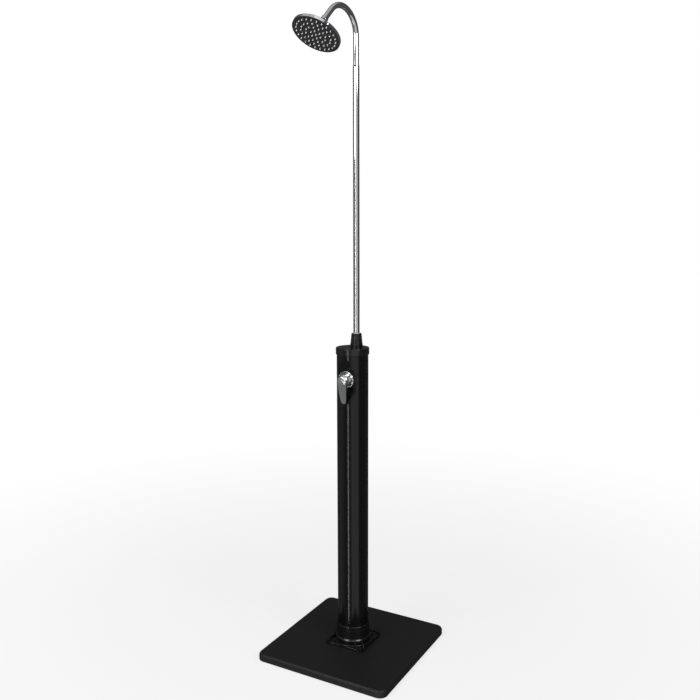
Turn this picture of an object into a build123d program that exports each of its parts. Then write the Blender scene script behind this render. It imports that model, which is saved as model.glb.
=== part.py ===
from build123d import *
import math
import os

# Solar outdoor shower: a black tube tank on a weighted square base, a single
# lever mixer in a pocket on its front, and a chrome riser with a gooseneck
# and a round rain head.  Millimetres, +Z up, origin on the floor under the
# centre of the base.  The mixer faces -Y and the hose inlet faces +Y.

# How far a cutter passes what it opens, or a joined form sinks in
PASS = 1.0
FAR = 20.0

# Square base
BASE_SIDE = 508.0
BASE_THICKNESS = 25.0
BASE_CORNER_R = 28.0
BASE_TOP_R = 9.0
BASE_BOTTOM_R = 2.0
BASE_WALL = 3.0
FILL_CLEARANCE = 0.2
FEET_HEIGHT = 4.0
FEET_STAND_OFF = 3.0
FEET_R = 20.0
FEET_EDGE = 1.5
FEET_INSET = 52.0
BASE_TOP_Z = FEET_STAND_OFF + BASE_THICKNESS

# Bolted foot of the tank
TANK_R = 55.0
TANK_WALL = 3.6
SLIP = 0.15
FOOT_SIDE = 149.0
FOOT_CORNER_R = 15.0
FOOT_PLATE = 8.0
FOOT_HOLE_R = 22.0
COLLAR_WALL = 4.65
COLLAR_HEIGHT = 76.0
COLLAR_MOUTH_R = 1.0
SHOULDER_HEIGHT = 16.0
SHOULDER_SLOPE = 5.0
SHOULDER_R = 64.0
SHOULDER_ROUND = 2.0
COLLAR_BLEND_R = 3.0
RIM_INNER_ROUND = 1.5
FOOT_ROUND = 1.8
FOOT_BEVEL = 1.2
CHANNEL_WIDTH = 7.5
CHANNEL_FLOOR = 2.0
RIM_WIDTH = 4.0
RIM_HEIGHT = 6.0
GUSSET_THICKNESS = 3.2
GUSSET_SPACING = 26.0
GUSSET_TOP = 17.0
GUSSET_TIP = 3.0
BOLT_SPACING = 132.0
BOLT_R = 4.0
BOLT_CLEARANCE = 0.5
THREAD_CLEARANCE = 0.05
BOLT_GRIP = 26.0
BOLT_HEAD_FLATS = 13.0
BOLT_HEAD_HEIGHT = 5.3
BOLT_CROWN = 1.0
WASHER_R = 8.5
WASHER_THICKNESS = 1.6
LUG_PAD_R = 10.5
LUG_PAD_HEIGHT = 1.5
SLEEVE_R = 7.0
SLEEVE_LENGTH = 18.0
SLEEVE_FLOOR = 2.0

# Tank
TANK_TOP_Z = 1106.5
PLUG_THICKNESS = 18.0
PLUG_CLEARANCE = 0.15
SEAL_SECTION = 3.0
SEAL_SQUEEZE = 0.4
MIXER_Z = 1008.0
POCKET_FLOOR = 42.0
POCKET_FLAT_UP = 20.0
POCKET_FLAT_DOWN = 40.0
POCKET_RAMP_UP = 51.0
POCKET_RAMP_DOWN = 49.0
POCKET_BLEND_R = 70.0
POCKET_SEAT_GAP = 0.8

# Top cap
CAP_WALL = 2.85
CAP_TOP_Z = 1114.0
CAP_PLATE = 5.0
CAP_HEIGHT = 24.0
CAP_EDGE_R = 1.6
CAP_LOWER_BEVEL = 2.2

# Hose inlet, drain and inner pipes
INLET_Z = 176.0
INLET_THREAD_R = 13.2
INLET_THREAD_LENGTH = 14.0
INLET_BORE_R = 8.5
INLET_FLANGE_R = 18.0
INLET_FLANGE = 4.0
INLET_SEAT = 58.0
THREAD_CHAMFER = 1.0
LOCKNUT_R = 17.5
LOCKNUT_THICKNESS = 6.0
DRAIN_Z = 124.0
DRAIN_THREAD_R = 6.5
DRAIN_HEAD_FLATS = 17.0
DRAIN_HEAD = 6.0
DRAIN_SEAT = 56.0
DRAIN_SHANK = 10.5
PIPE_R = 6.0
PIPE_WALL = 1.0
PIPE_BEND_R = 22.0
PIPE_SOCKET = 10.0
COLD_CROSS_START = 100.0
COLD_CROSS_END = 35.0
OUTLET_CROSS_START = 18.0
OUTLET_CROSS_END = 32.0
HOT_PIPE_GAP = 12.0
TEE_Y = 24.0
TEE_R = 10.0
TEE_HEIGHT = 34.0

# Mixer, measured along its axis from the axis of the tank
VALVE_GASKET = 2.0
VALVE_FLANGE_R = 21.0
VALVE_FLANGE = 6.0
VALVE_BLOCK_R = 19.0
VALVE_BACK = 6.0
VALVE_NECK_R = 14.5
VALVE_NECK_END = 56.0
VALVE_PORT_R = 8.5
VALVE_PORT_REACH = 28.0
VALVE_PORT_DEPTH = 18.0
VALVE_PORT_SPREAD = 10.0
VALVE_NUT_FLATS = 38.0
VALVE_NUT_THICKNESS = 4.0
ESCUTCHEON_R = 30.0
ESCUTCHEON_DEPTH = 8.0
ESCUTCHEON_WALL = 1.6
ESCUTCHEON_DISH = 2.4
ESCUTCHEON_RIM = 3.4
ESCUTCHEON_SLOPE = 3.1
ESCUTCHEON_ROUND = 1.4
CARTRIDGE_R = 12.2
CARTRIDGE_START = 34.0
CARTRIDGE_WALL = 2.0
CARTRIDGE_LIP = 2.0
DISC_THICKNESS = 3.0
SUPPLY_PORT_X = 4.0
SUPPLY_PORT_Y = -3.0
SUPPLY_PORT_R = 1.8
MIXED_PORT_Y = 4.0
MIXED_PORT_R = 2.2
CHAMBER_R = 4.0
CHAMBER_DEPTH = 1.5
FIXED_DISC_START = 44.0
MOVING_DISC_R = 7.8
CARRIER_THICKNESS = 3.5
LIFT_ANGLE = 25.0
TURRET_R = 8.0
TURRET_TOP = 62.5
TURRET_GAP = 0.2
TURRET_SLOT = 13.0
RUN_CLEARANCE = 0.08
PIVOT = 60.0
PIVOT_PIN_R = 1.25
STEM_EYE_R = 4.0
STEM_R = 3.0
STEM_TIP_R = 2.2
STEM_WAIST_R = 1.6
STEM_SIDE_PLAY = 0.3
STEM_TIP_PLAY = 0.6
STEM_ARM = 7.4
STEM_TOP = 75.0
DOME_R = 17.0
DOME_WALL = 1.3
DOME_NECK = 0.4
DOME_NECK_END = 57.0
DOME_OPENING = 52.0
NUT_SKIRT = 1.0
NUT_FLANGE = 2.0
NUT_SKIRT_LENGTH = 9.0

# Lever
CAVITY_CLEARANCE = 0.8
HUB_R = 21.0
HUB_BACK = 6.0
HUB_CROWN = 2.4
HUB_ROUND = 6.0
HUB_SHOULDER = 70.0
HUB_FRONT = 82.0
HUB_FRONT_R = 15.0
HUB_RIM_SLOPE = 14.0
HUB_RIM_OFFSET = 0.5
LEVER_REACH = 82.0
LEVER_ROOT = 6.0
LEVER_MID = 47.5
LEVER_END_BOW = 8.5
LEVER_BACK_BOW = 1.0
LEVER_ROOT_HALF = 16.3
LEVER_MID_HALF = 13.1
LEVER_TIP_HALF = 9.4
LEVER_ROOT_FRONT = 77.0
LEVER_MID_FRONT = 70.8
LEVER_TIP_FRONT = 63.0
LEVER_ROOT_THICKNESS = 9.5
LEVER_TIP_THICKNESS = 5.0
BOSS_R = 6.8
BOSS_START = 70.0
SCREW_R = 2.0
SCREW_LENGTH = 7.0
SCREW_HOLE = 8.0
SCREW_PLAY = 0.2
SCREW_KEY_R = 1.25
SCREW_HEAD_R = 3.6
SCREW_HEAD = 2.4
CAP_R = 5.4
HANDLE_WEB = 2.3
HANDLE_CAP = 2.0
HANDLE_CAP_CROWN = 0.8

# Union and riser
UNION_Y = 28.5
UNION_RING_R = 21.8
UNION_RING_HEIGHT = 8.0
UNION_NOTCHES = 12
UNION_NOTCH_DEPTH = 2.2
UNION_NOTCH_WIDTH = 4.0
UNION_NOTCH_HEIGHT = 5.0
UNION_NUT_BOTTOM_R = 21.2
UNION_NUT_TOP_R = 17.6
UNION_NUT_HEIGHT = 38.0
UNION_NUT_EDGE_R = 3.0
UNION_RIBS = 20
UNION_RIB_R = 1.1
UNION_RIB_LENGTH = 30.4
UNION_RIB_OFFSET = 0.3
UNION_STUB_WALL = 4.0
UNION_STUB_HEIGHT = 24.0
UNION_SPIGOT_R = 13.0
UNION_SPIGOT_END = 3.0
UNION_LOCKNUT_FLATS = 34.2
UNION_LOCKNUT = 5.0
GLAND_HEIGHT = 4.0
GRIP_HEIGHT = 6.0
GRIP_SHOWS = 1.2
GRIP_WALL = 2.0
GRIP_EDGE = 0.8
RISER_R = 11.0
RISER_WALL = 1.2
RISER_TOP_Z = 1980.0
RISER_SEAT = 3.0
COUPLER_TOP_Z = 2052.0
COUPLER_SPIGOT = 25.0
COUPLER_SOCKET = 60.0
COUPLER_CONE = 6.0
COUPLER_LIP = 0.4
COUPLER_WALL = 1.6
SEAM_DEPTH = 0.5
SEAM_HEIGHT = 0.8
ARM_R = 9.5
ARM_WALL = 1.2
ARM_BEND_START_Z = 2142.0
ARM_BEND_R = 80.5
ARM_BEND = 134.0
ARM_TO_BALL = 74.0
ARM_TURN = -5.8

# Ball joint and rain head
BALL_R = 10.0
BALL_NECK_R = 4.8
BALL_BORE_R = 3.0
FERRULE_R = 11.5
FERRULE_LENGTH = 14.0
FERRULE_GAP = 16.0
FERRULE_SOCKET = 10.0
FERRULE_ROUND = 1.0
BALL_TO_FACE = 42.0
HEAD_TILT = 32.2
HEAD_TURN = -15.9
SEAT_CLEARANCE = 0.3
SEAL_HALF = 2.0
SEAL_WALL = 1.2
SEAL_ROOM = 4.5
THRUST_TOP = 5.0
THRUST_HEIGHT = 3.0
SWIVEL_NUT_R = 15.5
SWIVEL_NUT_WALL = 2.5
SWIVEL_NUT_TOP = 8.5
SWIVEL_LIP = 5.5
SWIVEL_MOUTH = 3.0
SWIVEL_GAP = 1.5
SWIVEL_LOWER_EDGE = 0.8
SWIVEL_UPPER_EDGE = 1.5
SWIVEL_FLATS = 8
SWIVEL_FLAT_DEPTH = 0.6
SWIVEL_FLAT_HEIGHT = 9.0
SWIVEL_FLAT_MIDDLE = 8.0
SHELL_R = 80.0
SHELL_RIM = 10.0
SHELL_WALL = 2.0
SHELL_BACK_R = 20.0
SHELL_BACK_Z = 21.0
SHELL_RIM_R = 2.5
SHELL_BLEND_R = 8.0
SHELL_NECK_Z = 33.0
WATERWAY_R = 5.0
FACE_R = 76.5
FACE_THICKNESS = 3.0
MAT_THICKNESS = 2.0
FACE_SEAL_SETBACK = 0.6
NOZZLE_RINGS = 4
NOZZLE_PITCH = 16.5
NOZZLE_R = 2.1
NOZZLE_TIP_R = 1.6
NOZZLE_LENGTH = 3.0
NOZZLE_CLEARANCE = 0.2

# Derived places
FOOT_FLOOR_Z = BASE_TOP_Z + FOOT_PLATE
TANK_INNER_R = TANK_R - TANK_WALL
COLLAR_BORE_R = TANK_R + SLIP
COLLAR_R = COLLAR_BORE_R + COLLAR_WALL
RIM_INNER_R = SHOULDER_R + CHANNEL_WIDTH
RIM_R = RIM_INNER_R + RIM_WIDTH
LUG_TOP_Z = FOOT_FLOOR_Z + LUG_PAD_HEIGHT
CAP_R_OUTER = TANK_R + SLIP + CAP_WALL
CAP_UNDERSIDE_Z = CAP_TOP_Z - CAP_PLATE
POCKET_WALL_INNER = POCKET_FLOOR - TANK_WALL
RISER_BOTTOM_Z = CAP_TOP_Z + UNION_RING_HEIGHT + RISER_SEAT
PLUG_R = TANK_INNER_R - PLUG_CLEARANCE
GROOVE_R = PLUG_R - SEAL_SECTION + SEAL_SQUEEZE
PORT_BELOW_Z = MIXER_Z - VALVE_PORT_REACH
PORT_ABOVE_Z = MIXER_Z + VALVE_PORT_REACH
CAVITY_R = DOME_R + CAVITY_CLEARANCE
DISC_STROKE = STEM_ARM * math.sin(math.radians(LIFT_ANGLE))
NUT_R = VALVE_NECK_R + THREAD_CLEARANCE + NUT_SKIRT
SCREW_HEAD_Z = STEM_TOP + HANDLE_WEB
STUB_R = RISER_R + RUN_CLEARANCE + UNION_STUB_WALL
BALL_ROOM_R = BALL_R + SEAT_CLEARANCE
SEAL_R = BALL_ROOM_R + SEAL_WALL
SWIVEL_BORE_R = SWIVEL_NUT_R - SWIVEL_NUT_WALL
MOVING_DISC_START = FIXED_DISC_START + DISC_THICKNESS
CARRIER_START = MOVING_DISC_START + DISC_THICKNESS
CARTRIDGE_END = VALVE_NECK_END - 0.2
CARTRIDGE_BORE_R = CARTRIDGE_R - CARTRIDGE_WALL

# Drawing planes: local x, y, then z along the feature's own axis
MIXER = Plane(origin=(0, 0, MIXER_Z), x_dir=(1, 0, 0), z_dir=(0, -1, 0))
SIDE = Plane(origin=(0, 0, MIXER_Z), x_dir=(0, -1, 0), z_dir=(-1, 0, 0))
turn = math.radians(ARM_TURN)
ARM_PLANE = Plane(
    origin=(0, UNION_Y, 0),
    x_dir=(math.sin(turn), -math.cos(turn), 0),
    z_dir=(-math.cos(turn), -math.sin(turn), 0),
)


def arm_end():
    """Ball centre and the direction of the arm's end, worked out in the plane of the arm."""
    bend = math.radians(ARM_BEND)
    out = ARM_BEND_R * (1 - math.cos(bend)) + ARM_TO_BALL * math.sin(bend)
    up = ARM_BEND_START_Z + ARM_BEND_R * math.sin(bend) + ARM_TO_BALL * math.cos(bend)
    centre = ARM_PLANE.from_local_coords((out, up, 0))
    ahead = ARM_PLANE.from_local_coords((out + math.sin(bend), up + math.cos(bend), 0))
    return centre, ahead - centre


BALL_CENTRE, ARM_AXIS = arm_end()
tilt = math.radians(HEAD_TILT)
face_turn = math.radians(HEAD_TURN)
HEAD_AXIS = Vector(
    math.sin(tilt) * math.sin(face_turn),
    -math.sin(tilt) * math.cos(face_turn),
    -math.cos(tilt),
)
HEAD = Plane(
    origin=BALL_CENTRE + HEAD_AXIS * BALL_TO_FACE,
    x_dir=(math.cos(face_turn), math.sin(face_turn), 0),
    z_dir=-HEAD_AXIS,
)
ARM_END = Plane(
    origin=BALL_CENTRE,
    x_dir=(math.cos(turn), math.sin(turn), 0),
    z_dir=-ARM_AXIS,
)


def turned(points, rounds=()):
    """Body of revolution about Z from (radius, height) corners; rounds lists (corner, radius)."""
    profile = make_face(Polyline(*points, close=True))
    for corner, size in rounds:
        profile = fillet(profile.vertices().sort_by_distance(points[corner])[0], size)
    return revolve(Plane.XZ * profile, Axis.Z)


def ring(outer, inner, low, high):
    """Plain ring or, with an inner radius of 0, a plain disc."""
    body = Pos(0, 0, (low + high) / 2) * Cylinder(outer, high - low)
    if inner > 0:
        body -= Pos(0, 0, (low + high) / 2) * Cylinder(inner, high - low)
    return body


def hexagon(flats, bore, low, high):
    """Hexagon bar across flats, with a bore where one is given."""
    body = Pos(0, 0, low) * extrude(RegularPolygon(flats / 2, 6, major_radius=False), high - low)
    if bore > 0:
        body -= ring(bore, 0, low, high)
    return body


def at_corners(piece, spacing):
    """Four copies of a piece on a square pattern."""
    half = spacing / 2
    return [Pos(x, y, 0) * piece for x in (-half, half) for y in (-half, half)]


def pipe(points, radius, wall, bend):
    """Hollow pipe along a route with equal bends, in the YZ plane of the tank."""
    route = FilletPolyline(*points, radius=bend)
    start = Plane(origin=points[0], z_dir=route % 0)
    section = Circle(radius) - Circle(radius - wall)
    return sweep(start * section, path=route)


# Base

def rounded_slab(side, height, corner, top_edge, bottom_edge, low):
    """Square slab with upright rounded corners and rounded upper and lower edges."""
    outline = RectangleRounded(side, side, corner)
    slab = Pos(0, 0, low) * extrude(outline, height)
    slab = fillet(slab.faces().sort_by(Axis.Z)[-1].edges(), top_edge)
    if bottom_edge > 0:
        slab = fillet(slab.faces().sort_by(Axis.Z)[0].edges(), bottom_edge)
    return slab


def base_cover():
    """Moulded shell, open below, with four clearance holes for the foot bolts."""
    body = rounded_slab(BASE_SIDE, BASE_THICKNESS, BASE_CORNER_R, BASE_TOP_R, 0, FEET_STAND_OFF)
    body -= rounded_slab(
        BASE_SIDE - 2 * BASE_WALL, BASE_THICKNESS - BASE_WALL,
        BASE_CORNER_R - BASE_WALL, BASE_TOP_R - BASE_WALL, 0, FEET_STAND_OFF,
    )
    hole = ring(BOLT_R + BOLT_CLEARANCE, 0, FEET_STAND_OFF, BASE_TOP_Z)
    for cut in at_corners(hole, BOLT_SPACING):
        body -= cut
    return body


def base_ballast():
    """Cast slab that fills the shell, with sockets for the threaded sleeves."""
    low = FEET_HEIGHT
    top = BASE_TOP_Z - BASE_WALL
    inset = BASE_WALL + FILL_CLEARANCE
    body = rounded_slab(
        BASE_SIDE - 2 * inset, top - low, BASE_CORNER_R - inset, BASE_TOP_R - inset, BASE_BOTTOM_R, low,
    )
    socket = ring(SLEEVE_R, 0, top - SLEEVE_LENGTH, top)
    for cut in at_corners(socket, BOLT_SPACING):
        body -= cut
    return body


def rubber_feet():
    """Four turned feet stuck under the slab."""
    foot = turned(
        [(0, 0), (FEET_R - FEET_EDGE, 0), (FEET_R, FEET_EDGE), (FEET_R, FEET_HEIGHT), (0, FEET_HEIGHT)],
    )
    return at_corners(foot, BASE_SIDE - 2 * FEET_INSET)


def anchor_sleeves():
    """Threaded sleeves in the slab, blind at their lower end."""
    top = BASE_TOP_Z - BASE_WALL
    sleeve = ring(SLEEVE_R, 0, top - SLEEVE_LENGTH, top)
    sleeve -= ring(BOLT_R + THREAD_CLEARANCE, 0, top - SLEEVE_LENGTH + SLEEVE_FLOOR, top)
    return at_corners(sleeve, BOLT_SPACING)


# Bolted foot

def gusset(side):
    """One gusset beside the bolt of the +X lug, before it is turned to a corner."""
    reach = BOLT_SPACING / math.sqrt(2)
    root = COLLAR_R - COLLAR_WALL / 2
    low = FOOT_FLOOR_Z - PASS
    top = FOOT_FLOOR_Z + GUSSET_TOP
    outline = Polyline(
        (root, low), (reach, low), (reach, FOOT_FLOOR_Z + GUSSET_TIP),
        (SHOULDER_R, top), (root, top), close=True,
    )
    web = extrude(Plane.XZ * make_face(outline), GUSSET_THICKNESS / 2, both=True)
    return Pos(0, side * GUSSET_SPACING / 2, 0) * web


def tank_foot():
    """Foot moulding: collar, shoulder, ring channel, rim, lug pads and paired gussets."""
    shoulder_z = FOOT_FLOOR_Z + SHOULDER_HEIGHT
    collar_top = BASE_TOP_Z + COLLAR_HEIGHT
    body = turned(
        [
            (FOOT_HOLE_R, BASE_TOP_Z), (RIM_R, BASE_TOP_Z), (RIM_R, FOOT_FLOOR_Z + RIM_HEIGHT),
            (RIM_INNER_R, FOOT_FLOOR_Z + RIM_HEIGHT), (RIM_INNER_R, FOOT_FLOOR_Z + CHANNEL_FLOOR),
            (SHOULDER_R, FOOT_FLOOR_Z + CHANNEL_FLOOR), (SHOULDER_R, shoulder_z),
            (COLLAR_R, shoulder_z + SHOULDER_SLOPE), (COLLAR_R, collar_top), (COLLAR_BORE_R, collar_top),
            (COLLAR_BORE_R, FOOT_FLOOR_Z), (FOOT_HOLE_R, FOOT_FLOOR_Z),
        ],
        [(2, FOOT_ROUND), (3, RIM_INNER_ROUND), (6, SHOULDER_ROUND), (7, COLLAR_BLEND_R),
         (8, FOOT_ROUND), (9, COLLAR_MOUTH_R)],
    )
    plate = Pos(0, 0, BASE_TOP_Z) * extrude(RectangleRounded(FOOT_SIDE, FOOT_SIDE, FOOT_CORNER_R), FOOT_PLATE)
    plate = chamfer(plate.faces().sort_by(Axis.Z)[-1].edges(), FOOT_BEVEL)
    body += plate - ring(FOOT_HOLE_R + FOOT_PLATE / 2, 0, BASE_TOP_Z, FOOT_FLOOR_Z)
    pad = ring(LUG_PAD_R, 0, FOOT_FLOOR_Z - PASS, LUG_TOP_Z)
    for lug in at_corners(pad, BOLT_SPACING):
        body += lug
    for quarter in range(4):
        for side in (-1, 1):
            body += Rot(0, 0, 45 + 90 * quarter) * gusset(side)
    body -= ring(COLLAR_BORE_R, 0, FOOT_FLOOR_Z, collar_top)
    hole = ring(BOLT_R + BOLT_CLEARANCE, 0, BASE_TOP_Z, LUG_TOP_Z)
    for cut in at_corners(hole, BOLT_SPACING):
        body -= cut
    return body


def foot_washers():
    low = LUG_TOP_Z
    washer = ring(WASHER_R, BOLT_R + BOLT_CLEARANCE, low, low + WASHER_THICKNESS)
    return at_corners(washer, BOLT_SPACING)


def foot_bolts():
    """Hexagon bolts down through the lugs into the sleeves."""
    low = LUG_TOP_Z + WASHER_THICKNESS
    head = hexagon(BOLT_HEAD_FLATS, 0, low, low + BOLT_HEAD_HEIGHT)
    top = low + BOLT_HEAD_HEIGHT
    corner = BOLT_HEAD_FLATS / math.sqrt(3)
    crown = turned(
        [(0, low), (corner, low), (corner, top - BOLT_CROWN),
         (BOLT_HEAD_FLATS / 2 - BOLT_CROWN / 2, top), (0, top)],
    )
    bolt = (head & crown) + ring(BOLT_R, 0, low - BOLT_GRIP, low)
    return at_corners(bolt, BOLT_SPACING)


# Tank

def pocket_cutter(inward):
    """Scoop with a flat floor and two long ramps, cut across the front of the tube."""
    floor = POCKET_FLOOR - inward
    rise = TANK_R - POCKET_FLOOR
    outer = TANK_R + FAR
    up = POCKET_RAMP_UP / rise
    down = POCKET_RAMP_DOWN / rise
    reach = outer - floor
    outline = make_face(Polyline(
        (outer, -POCKET_FLAT_DOWN - down * reach), (floor, -POCKET_FLAT_DOWN),
        (floor, POCKET_FLAT_UP), (outer, POCKET_FLAT_UP + up * reach), close=True,
    ))
    for corner in ((floor, -POCKET_FLAT_DOWN), (floor, POCKET_FLAT_UP)):
        outline = fillet(outline.vertices().sort_by_distance(corner)[0], POCKET_BLEND_R)
    return extrude(SIDE * outline, TANK_R + PASS, both=True)


def tank_tube():
    """Tube with the mixer pocket and its round seat, and holes for valve, inlet and drain."""
    seat_r = ESCUTCHEON_R + POCKET_SEAT_GAP
    body = ring(TANK_R, 0, FOOT_FLOOR_Z, TANK_TOP_Z) - pocket_cutter(0)
    body -= MIXER * ring(seat_r, 0, POCKET_FLOOR, TANK_R + PASS)
    inside = ring(TANK_INNER_R, 0, FOOT_FLOOR_Z, TANK_TOP_Z) - pocket_cutter(TANK_WALL)
    inside -= MIXER * ring(seat_r + TANK_WALL, 0, POCKET_WALL_INNER, TANK_R + PASS)
    body -= inside
    body -= MIXER * ring(VALVE_NECK_R + SLIP, 0, POCKET_WALL_INNER - PASS, POCKET_FLOOR + PASS)
    for height, radius in ((INLET_Z, INLET_THREAD_R + SLIP), (DRAIN_Z, DRAIN_THREAD_R + SLIP)):
        body -= back_plane(height) * ring(radius, 0, 0, TANK_R + PASS)
    return body


def bottom_plug():
    """Plug with a groove for its seal ring."""
    low = FOOT_FLOOR_Z
    middle = low + PLUG_THICKNESS / 2
    half = SEAL_SECTION / 2
    return turned([
        (0, low), (PLUG_R, low), (PLUG_R, middle - half), (GROOVE_R, middle - half),
        (GROOVE_R, middle + half), (PLUG_R, middle + half),
        (PLUG_R, low + PLUG_THICKNESS), (0, low + PLUG_THICKNESS),
    ])


def plug_seal():
    middle = FOOT_FLOOR_Z + PLUG_THICKNESS / 2
    half = SEAL_SECTION / 2
    return ring(PLUG_R, GROOVE_R, middle - half, middle + half)


def top_cap():
    """Cap with a skirt over the tube, a bevelled lower edge and a hole for the union."""
    low = CAP_TOP_Z - CAP_HEIGHT
    outer = CAP_R_OUTER
    inner = TANK_R + SLIP
    body = turned(
        [
            (0, CAP_UNDERSIDE_Z), (inner, CAP_UNDERSIDE_Z), (inner, low),
            (outer - CAP_LOWER_BEVEL, low), (outer, low + CAP_LOWER_BEVEL),
            (outer, CAP_TOP_Z), (0, CAP_TOP_Z),
        ],
        [(5, CAP_EDGE_R)],
    )
    return body - Pos(0, UNION_Y, 0) * ring(UNION_SPIGOT_R + SLIP, 0, CAP_UNDERSIDE_Z, CAP_TOP_Z)


def cap_seal():
    return ring(TANK_R, TANK_INNER_R, TANK_TOP_Z, CAP_UNDERSIDE_Z)


# Back connections and inner pipes

def back_plane(height):
    """Plane whose local Z points out of the back of the tank at a height."""
    return Plane(origin=(0, 0, height), x_dir=(-1, 0, 0), z_dir=(0, 1, 0))


def hose_inlet():
    """Nipple with an outer hose thread, a flange and a thread through the wall."""
    seat = INLET_SEAT
    tip = seat + INLET_FLANGE + INLET_THREAD_LENGTH
    body = turned([
        (INLET_BORE_R, TEE_Y + TEE_R), (INLET_THREAD_R, TEE_Y + TEE_R), (INLET_THREAD_R, seat),
        (INLET_FLANGE_R, seat), (INLET_FLANGE_R, seat + INLET_FLANGE),
        (INLET_THREAD_R, seat + INLET_FLANGE), (INLET_THREAD_R, tip - THREAD_CHAMFER),
        (INLET_THREAD_R - THREAD_CHAMFER, tip),
        (INLET_BORE_R, tip),
    ])
    return back_plane(INLET_Z) * body


def saddle(height, outer, inner, seat):
    """Gasket between the round tube and a flat flange."""
    body = back_plane(height) * ring(outer, inner, 0, seat)
    return body - ring(TANK_R, 0, height - outer - PASS, height + outer + PASS)


def inlet_locknut():
    """Nut inside the tank whose outer corners bear on the round wall."""
    bearing = math.sqrt(TANK_INNER_R ** 2 - LOCKNUT_R ** 2) - THREAD_CLEARANCE
    nut = ring(LOCKNUT_R, INLET_THREAD_R + THREAD_CLEARANCE, bearing - LOCKNUT_THICKNESS, bearing)
    return back_plane(INLET_Z) * nut


def drain_plug():
    """Hexagon plug in the back of the tank, just above the collar."""
    head = hexagon(DRAIN_HEAD_FLATS, 0, DRAIN_SEAT, DRAIN_SEAT + DRAIN_HEAD)
    shank = ring(DRAIN_THREAD_R, 0, DRAIN_SEAT - DRAIN_SHANK, DRAIN_SEAT)
    return back_plane(DRAIN_Z) * (head + shank)


def inlet_tee():
    """Tee on the inner end of the inlet: up to the cold pipe, down into the tank."""
    low = INLET_Z - TEE_HEIGHT / 2
    high = INLET_Z + TEE_HEIGHT / 2
    body = Pos(0, TEE_Y, 0) * ring(TEE_R, 0, low, high)
    body += back_plane(INLET_Z) * ring(INLET_THREAD_R, 0, TEE_Y, TEE_Y + TEE_R)
    body -= back_plane(INLET_Z) * ring(INLET_BORE_R, 0, TEE_Y, TEE_Y + TEE_R)
    body -= Pos(0, TEE_Y, 0) * ring(PIPE_R - PIPE_WALL, 0, low, high)
    return body - Pos(0, TEE_Y, 0) * ring(PIPE_R + THREAD_CLEARANCE, 0, high - PIPE_SOCKET, high)


def cold_pipe():
    """Cold water from the tee up to the lower port of the valve body."""
    start = INLET_Z + TEE_HEIGHT / 2 - PIPE_SOCKET
    points = [
        (0, TEE_Y, start), (0, TEE_Y, PORT_BELOW_Z - COLD_CROSS_START),
        (0, -VALVE_PORT_DEPTH, PORT_BELOW_Z - COLD_CROSS_END),
        (0, -VALVE_PORT_DEPTH, PORT_BELOW_Z + PIPE_SOCKET),
    ]
    return pipe(points, PIPE_R, PIPE_WALL, PIPE_BEND_R)


def outlet_pipe():
    """Mixed water from the upper port on the +X side to the spigot under the union."""
    end = CAP_UNDERSIDE_Z - UNION_LOCKNUT
    x = VALVE_PORT_SPREAD
    points = [
        (x, -VALVE_PORT_DEPTH, PORT_ABOVE_Z - PIPE_SOCKET),
        (x, -VALVE_PORT_DEPTH, PORT_ABOVE_Z + OUTLET_CROSS_START),
        (0, UNION_Y, end - OUTLET_CROSS_END), (0, UNION_Y, end),
    ]
    return pipe(points, PIPE_R, PIPE_WALL, PIPE_BEND_R)


def hot_pipe():
    """Open pipe that takes the hottest water near the top of the tank."""
    tube = ring(PIPE_R, PIPE_R - PIPE_WALL, PORT_ABOVE_Z - PIPE_SOCKET, CAP_UNDERSIDE_Z - HOT_PIPE_GAP)
    return Pos(-VALVE_PORT_SPREAD, -VALVE_PORT_DEPTH, 0) * tube


# Mixer

def valve_body():
    """Brass body: clamping flange, neck through the pocket wall and three ports."""
    shoulder = POCKET_WALL_INNER - VALVE_GASKET
    body = ring(VALVE_BLOCK_R, 0, VALVE_BACK, shoulder - VALVE_FLANGE)
    body += ring(VALVE_FLANGE_R, 0, shoulder - VALVE_FLANGE, shoulder)
    body += ring(VALVE_NECK_R, 0, shoulder, VALVE_NECK_END)
    body -= ring(CARTRIDGE_R + THREAD_CLEARANCE, 0, CARTRIDGE_START, VALVE_NECK_END)
    body = MIXER * body
    bore_r = PIPE_R + THREAD_CLEARANCE
    port = ring(VALVE_PORT_R, 0, VALVE_PORT_R, VALVE_PORT_REACH)
    bore = ring(bore_r, 0, VALVE_PORT_REACH - PIPE_SOCKET, VALVE_PORT_REACH)
    ways = [(0, 180), (-VALVE_PORT_SPREAD, 0), (VALVE_PORT_SPREAD, 0)]
    for x, angle in ways:
        body += Pos(x, -VALVE_PORT_DEPTH, MIXER_Z) * (Rot(angle, 0, 0) * port)
    for x, angle in ways:
        body -= Pos(x, -VALVE_PORT_DEPTH, MIXER_Z) * (Rot(angle, 0, 0) * bore)
    return body


def valve_gasket():
    low = POCKET_WALL_INNER - VALVE_GASKET
    return MIXER * ring(VALVE_FLANGE_R, VALVE_NECK_R + SLIP, low, POCKET_WALL_INNER)


def valve_nut():
    bore = VALVE_NECK_R + THREAD_CLEARANCE
    return MIXER * hexagon(VALVE_NUT_FLATS, bore, POCKET_FLOOR, POCKET_FLOOR + VALVE_NUT_THICKNESS)


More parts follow.
